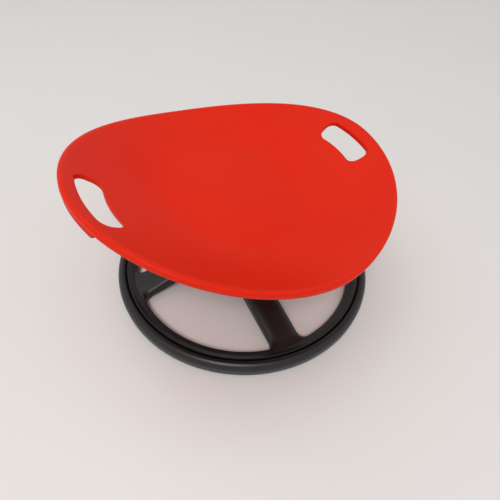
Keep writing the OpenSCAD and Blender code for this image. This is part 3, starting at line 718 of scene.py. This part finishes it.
# Base: ring, spokes and hub
def floor_ring():
    """The ring's channel: a rolled inner edge, a rise to the ridge beside the tyre, and a tongue that
    keeps the tyre on. Its outline is carried round the ring's middle."""
    shelf = RIDGE_H - RIDGE_STEP
    ridge_in = RIM_R - RIDGE_W
    outline = [
        (RING_IN, RING_LIFT),
        (RING_IN, EDGE_H),
        (ridge_in - RIDGE_STEP, shelf),
        (ridge_in, RIDGE_H - RIDGE_EDGE),
        (ridge_in + RIDGE_EDGE, RIDGE_H),
        (RIM_R - RIDGE_EDGE, RIDGE_H),
        (RIM_R, RIDGE_H - RIDGE_EDGE),
        (RIM_R, TONGUE_Z + TONGUE_H),
        (RIM_R + TONGUE_D, TONGUE_Z + TONGUE_H - TONGUE_EDGE),
        (RIM_R + TONGUE_D, TONGUE_Z + TONGUE_EDGE),
        (RIM_R, TONGUE_Z),
        (RIM_R, RING_LIFT),
        (RIM_R - BASE_WALL, RING_LIFT),
        (RIM_R - BASE_WALL, shelf - BASE_WALL),
        (ridge_in - RIDGE_STEP_IN, shelf - BASE_WALL),
        (RING_IN + BASE_WALL, EDGE_H - BASE_WALL),
        (RING_IN + BASE_WALL, RING_LIFT)]
    return lathe(rounded(outline, RING_ROUNDS, 6), RING_STEPS)


def hub_drum():
    """Column, flare, drum and bearing tube: one outline carried round the spin axis. The flare's
    radius is column + (drum - column) s^power on the share s of its height."""
    s = np.arange(1, FLARE_STEPS + 1) / FLARE_STEPS
    flare = np.column_stack([COLUMN_R + (DRUM_R - COLUMN_R) * s ** FLARE_POWER,
                             W_COLUMN + s * (W_JOIN - W_COLUMN)])
    hollow = flare[s >= FLARE_HOLLOW]
    hollow = np.column_stack([np.maximum(TUBE_R + FLARE_GAP, hollow[:, 0] - DRUM_WALL), hollow[:, 1]])
    top = [(COLUMN_R - COLUMN_EDGE, W_COLUMN), (COLUMN_R - 0.3 * COLUMN_EDGE, W_COLUMN - 0.3 * COLUMN_EDGE),
           (COLUMN_R, W_COLUMN - COLUMN_EDGE)]
    drum = [(DRUM_R, W_JOIN - DRUM_TOP), (DRUM_R, W_DRUM_END + DRUM_EDGE), (DRUM_R - DRUM_EDGE, W_DRUM_END),
            (DRUM_R - DRUM_WALL, W_DRUM_END)]
    tube = [(TUBE_R, hollow[0, 1]), (TUBE_R, W_STEP), (MOUTH_R + TUBE_WALL, W_STEP),
            (MOUTH_R + TUBE_WALL, W_MOUTH), (MOUTH_R, W_MOUTH), (MOUTH_R, W_STEP),
            (SLEEVE_BORE_R, W_STEP), (SLEEVE_BORE_R, W_COLUMN)]
    points, faces = lathe(np.concatenate([top, flare, drum, hollow[::-1], tube]), HUB_STEPS)
    return on_axis(points), faces


def base_shell():
    """Ring, four spokes and hub in one mesh."""
    points, faces = joined([floor_ring()] + [spoke_shell(k) for k in range(4)] + [hub_drum()])
    return add_mesh("base_shell", points, faces, crease=40)


def ring_webs():
    """Short ribs inside the ring's channel."""
    points, faces = bar(RING_IN + WEB_BITE, RIM_R - WEB_BITE, RING_RIB_T,
                        RING_LIFT + RING_RIB_EDGE, EDGE_H - RING_RIB_EDGE)
    return [(turned(points, BASE_TURN + 45 + i * 360 / RING_RIBS), faces) for i in range(RING_RIBS)]


def spoke_webs(k):
    """Cross ribs inside the channel of spoke k."""
    foot = reach_to(k, RING_IN, 0)
    webs = []
    for share in SPOKE_WEBS:
        x = DRUM_R + share * (foot - DRUM_R)
        low = max(spoke_low(k, foot) + SPOKE_WEB_EDGE, spoke_low(k, x) + WEB_BITE)
        high = spoke_top(k, x) - SPOKE_DOME + SPOKE_WEB_RISE
        points, faces = bar(x, x + SPOKE_WEB_T, SPOKE_W - 2 * SPOKE_WEB_IN, low, high)
        webs.append((from_hub(points, k), faces))
    return webs


def hub_webs():
    """Ribs from the bearing tube to the drum's wall."""
    points, faces = bar(TUBE_R - WEB_BITE, DRUM_R - DRUM_WALL + WEB_BITE, HUB_WEB_T,
                        W_DRUM_END + HUB_WEB_EDGE, W_JOIN - HUB_WEB_EDGE)
    return [(on_axis(turned(points, LEAN_DIR + i * 360 / HUB_WEBS)), faces) for i in range(HUB_WEBS)]


def base_webs():
    """All the ribs under the base in one mesh."""
    solids = ring_webs()
    for k in range(4):
        solids += spoke_webs(k)
    points, faces = joined(solids + hub_webs())
    return add_mesh("base_webs", points, faces, crease=35)


# Building blocks of the finishes
def plug(tree, socket, source):
    """Links a socket to another node's output, or sets it to a plain value."""
    if isinstance(source, bpy.types.NodeSocket):
        tree.links.new(source, socket)
    else:
        socket.default_value = source


def new_node(tree, kind, sockets):
    """A node with what its named sockets hold or follow."""
    node = tree.nodes.new(kind)
    for name, source in sockets.items():
        plug(tree, node.inputs[name], source)
    return node


def noise(tree, scale, detail, roughness=0.5):
    """Noise over the object's own coordinates."""
    place = tree.nodes.new("ShaderNodeTexCoord").outputs["Object"]
    sockets = {"Vector": place, "Scale": scale, "Detail": detail, "Roughness": roughness}
    return new_node(tree, "ShaderNodeTexNoise", sockets).outputs["Fac"]


def spread_over(tree, value, low, high, to_low=0.0, to_high=1.0):
    """A value's span from low to high, spread over another span."""
    sockets = {"Value": value, "From Min": low, "From Max": high, "To Min": to_low, "To Max": to_high}
    return new_node(tree, "ShaderNodeMapRange", sockets).outputs["Result"]


def sum_of(tree, operation, *values):
    """The result of one sum of up to three values."""
    node = tree.nodes.new("ShaderNodeMath")
    node.operation = operation
    for socket, value in zip(node.inputs, values):
        plug(tree, socket, value)
    return node.outputs[0]


def mixed(tree, blend, factor, first, second):
    """Two colours mixed by a factor."""
    node = tree.nodes.new("ShaderNodeMix")
    node.data_type = "RGBA"
    node.blend_type = blend
    plug(tree, node.inputs["Factor"], factor)
    plug(tree, node.inputs["A"], first)
    plug(tree, node.inputs["B"], second)
    return node.outputs["Result"]


def moulded_grain():
    """The effect that all finishes share: cloudy tone and roughness, fine speckle and surface grain."""
    tree = bpy.data.node_groups.new("moulded_grain", "ShaderNodeTree")
    for name in ("Base", "Shade"):
        tree.interface.new_socket(name, in_out="INPUT", socket_type="NodeSocketColor")
    for name in ("Rough", "Rough spread", "Cloud scale", "Grain scale", "Grain height", "Wave height"):
        tree.interface.new_socket(name, in_out="INPUT", socket_type="NodeSocketFloat")
    for name, kind in (("Color", "NodeSocketColor"), ("Roughness", "NodeSocketFloat"),
                       ("Normal", "NodeSocketVector")):
        tree.interface.new_socket(name, in_out="OUTPUT", socket_type=kind)
    given = tree.nodes.new("NodeGroupInput").outputs

    cloud = noise(tree, given["Cloud scale"], 3)
    speckle = spread_over(tree, noise(tree, 260.0, 2, 0.6), 0.3, 0.7, 0.95, 1.04)
    tone = mixed(tree, "MIX", spread_over(tree, cloud, 0.32, 0.7), given["Shade"], given["Base"])
    color = mixed(tree, "MULTIPLY", 1.0, tone, speckle)

    about_zero = sum_of(tree, "SUBTRACT", cloud, 0.5)
    roughness = sum_of(tree, "MULTIPLY_ADD", about_zero, given["Rough spread"], given["Rough"])

    wave = new_node(tree, "ShaderNodeBump", {
        "Distance": 0.004, "Strength": given["Wave height"], "Height": noise(tree, 9.0, 1)})
    grain = new_node(tree, "ShaderNodeBump", {
        "Distance": 0.0004, "Strength": given["Grain height"], "Normal": wave.outputs["Normal"],
        "Height": noise(tree, given["Grain scale"], 2)})
    new_node(tree, "NodeGroupOutput", {
        "Color": color, "Roughness": roughness, "Normal": grain.outputs["Normal"]})
    return tree


GRAIN = moulded_grain()


def surface_finish(name, base, shade, rough, spread, cloud, grain, height, wave=0.0, metallic=0.0,
                   spec=0.5):
    """A finish: two tones of one colour, a roughness and its spread, and the scales of its grain."""
    material = bpy.data.materials.new(name)
    material.use_nodes = True
    material.diffuse_color = (*base, 1)
    tree = material.node_tree
    effect = tree.nodes.new("ShaderNodeGroup")
    effect.node_tree = GRAIN
    given = {"Base": (*base, 1), "Shade": (*shade, 1), "Rough": rough, "Rough spread": spread,
             "Cloud scale": cloud, "Grain scale": grain, "Grain height": height, "Wave height": wave}
    for socket, value in given.items():
        effect.inputs[socket].default_value = value
    shader = tree.nodes["Principled BSDF"].inputs
    shader["Metallic"].default_value = metallic
    shader["Specular IOR Level"].default_value = spec
    tree.links.new(effect.outputs["Color"], shader["Base Color"])
    tree.links.new(effect.outputs["Roughness"], shader["Roughness"])
    tree.links.new(effect.outputs["Normal"], shader["Normal"])
    return material


# Finishes, one for each material slot of the record
def seat_plastic():
    """Satin red plastic with a faint wave from the mould."""
    return surface_finish("seat_plastic", (0.665, 0.0165, 0.0010), (0.635, 0.0130, 0.0006), rough=0.42,
                          spread=0.10, cloud=5.0, grain=1500.0, height=0.10, wave=0.02, spec=0.12)


def base_plastic():
    """Black grained plastic."""
    return surface_finish("base_plastic", (0.011, 0.0095, 0.010), (0.0065, 0.0058, 0.0065), rough=0.38,
                          spread=0.16, cloud=14.0, grain=1300.0, height=0.16, spec=0.4)


def tyre_rubber():
    """Black rubber, a little bluer than the plastic."""
    return surface_finish("tyre_rubber", (0.011, 0.0105, 0.0125), (0.007, 0.0068, 0.0085), rough=0.38,
                          spread=0.12, cloud=10.0, grain=1100.0, height=0.16, spec=0.42)


def zinc_steel():
    """Steel with dull zinc plating."""
    return surface_finish("zinc_steel", (0.56, 0.57, 0.58), (0.44, 0.45, 0.46), rough=0.34,
                          spread=0.16, cloud=30.0, grain=700.0, height=0.06, metallic=1.0)


def bearing_steel():
    """Bright ground steel."""
    return surface_finish("bearing_steel", (0.68, 0.69, 0.70), (0.60, 0.61, 0.62), rough=0.18,
                          spread=0.08, cloud=22.0, grain=900.0, height=0.02, metallic=1.0)


def cage_brass():
    """Plain brass of the ball cages."""
    return surface_finish("cage_brass", (0.72, 0.52, 0.22), (0.55, 0.38, 0.15), rough=0.3,
                          spread=0.12, cloud=26.0, grain=900.0, height=0.04, metallic=1.0)


def seal_rubber():
    """Dark grey rubber of the seals."""
    return surface_finish("seal_rubber", (0.035, 0.035, 0.036), (0.022, 0.022, 0.023), rough=0.6,
                          spread=0.1, cloud=18.0, grain=900.0, height=0.2)


FINISHES = {"seat_plastic": seat_plastic(), "base_plastic": base_plastic(), "tyre_rubber": tyre_rubber(),
            "zinc_steel": zinc_steel(), "bearing_steel": bearing_steel(), "cage_brass": cage_brass(),
            "seal_rubber": seal_rubber()}


def piece(ob, body, node, slot):
    """Puts a new piece on its body, in place of a CAD node, with the slot's finish."""
    ob.data.materials.append(FINISHES[slot])
    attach(ob, body)
    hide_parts(node)


# Finishes of the CAD's own pieces
SLOT_OF = {subpart["node"]: subpart["material_slot"] for subpart in frame["record"]["subparts"]}
for node_name, cad_piece in frame["nodes"].items():
    cad_piece.data.materials.clear()
    cad_piece.data.materials.append(FINISHES[SLOT_OF[node_name]])

# New pieces of the seat and of the base
piece(saucer_skin(), "seat", "seat_shell", "seat_plastic")
piece(grip_skirt("grip_skirt_right", 1), "seat", "seat_shell", "seat_plastic")
piece(grip_skirt("grip_skirt_left", -1), "seat", "seat_shell", "seat_plastic")
piece(seat_skirt(), "seat", "seat_shell", "seat_plastic")
piece(seat_ribs(), "seat", "seat_shell", "seat_plastic")
piece(seat_pad(), "seat", "seat_shell", "seat_plastic")
piece(base_shell(), "base", "base_frame", "base_plastic")
piece(base_webs(), "base", "base_frame", "base_plastic")


# Floor
def floor_finish():
    """Pale floor with a faint cloudy tone."""
    material = bpy.data.materials.new("floor")
    material.use_nodes = True
    tree = material.node_tree
    tone = spread_over(tree, noise(tree, 3.0, 3), 0.0, 1.0, 0.975, 1.02)
    color = mixed(tree, "MULTIPLY", 1.0, (0.70, 0.680, 0.668, 1), tone)
    shader = tree.nodes["Principled BSDF"].inputs
    shader["Roughness"].default_value = 0.36
    tree.links.new(color, shader["Base Color"])
    return material


def floor(half=6.0):
    """A flat square floor, in metres."""
    mesh = bpy.data.meshes.new("floor")
    mesh.from_pydata([(-half, -half, 0), (half, -half, 0), (half, half, 0), (-half, half, 0)],
                     [], [(0, 1, 2, 3)])
    mesh.materials.append(floor_finish())
    made = bpy.data.objects.new("floor", mesh)
    scene.collection.objects.link(made)


floor()


# Camera, fitted to the photograph by the floor ring and the seams of the shelf behind it
def photo_camera():
    """The photograph's camera, from the way it looks, its right hand and its place in metres."""
    ahead = Vector((0.4134, 0.5476, -0.7274)).normalized()
    right = Vector((0.8231, -0.5664, 0.0415)).normalized()
    up = right.cross(ahead).normalized()
    right = ahead.cross(up).normalized()
    camera = bpy.data.objects.new("camera", bpy.data.cameras.new("camera"))
    camera.data.lens = 27.14
    camera.data.sensor_width = 36.0
    camera.data.clip_start = 0.02
    camera.data.clip_end = 30
    pose = Matrix((right, up, -ahead)).transposed().to_4x4()
    pose.translation = Vector((-0.2792, -0.3886, 0.5447))
    camera.matrix_world = pose
    scene.collection.objects.link(camera)
    return camera


scene.camera = photo_camera()
scene.view_settings.view_transform = "Standard"


# Lamps and daylight
LAMP_AIM = (0, 0, 0.1)


def area_lamp(name, place, size, energy, color):
    """A rectangular lamp, aimed at the middle of the part, with its place and size in metres."""
    lamp = bpy.data.lights.new(name, "AREA")
    lamp.shape = "RECTANGLE"
    lamp.size, lamp.size_y = size
    lamp.energy = energy
    lamp.color = color
    made = bpy.data.objects.new(name, lamp)
    aim = Vector(LAMP_AIM) - Vector(place)
    pose = aim.to_track_quat("-Z", "Y").to_matrix().to_4x4()
    pose.translation = Vector(place)
    made.matrix_world = pose
    scene.collection.objects.link(made)


def daylight(color, strength):
    """Even light from all round."""
    world = bpy.data.worlds.new("world")
    world.use_nodes = True
    background = world.node_tree.nodes["Background"].inputs
    background["Color"].default_value = (*color, 1)
    background["Strength"].default_value = strength
    scene.world = world


area_lamp("key", (-1.35, -1.25, 2.4), (0.7, 0.7), 29, (1.0, 0.985, 0.965))
area_lamp("fill", (-0.6, 0.9, 2.6), (1.8, 1.4), 9, (0.98, 0.99, 1.0))
daylight((1.0, 0.985, 0.97), 0.76)
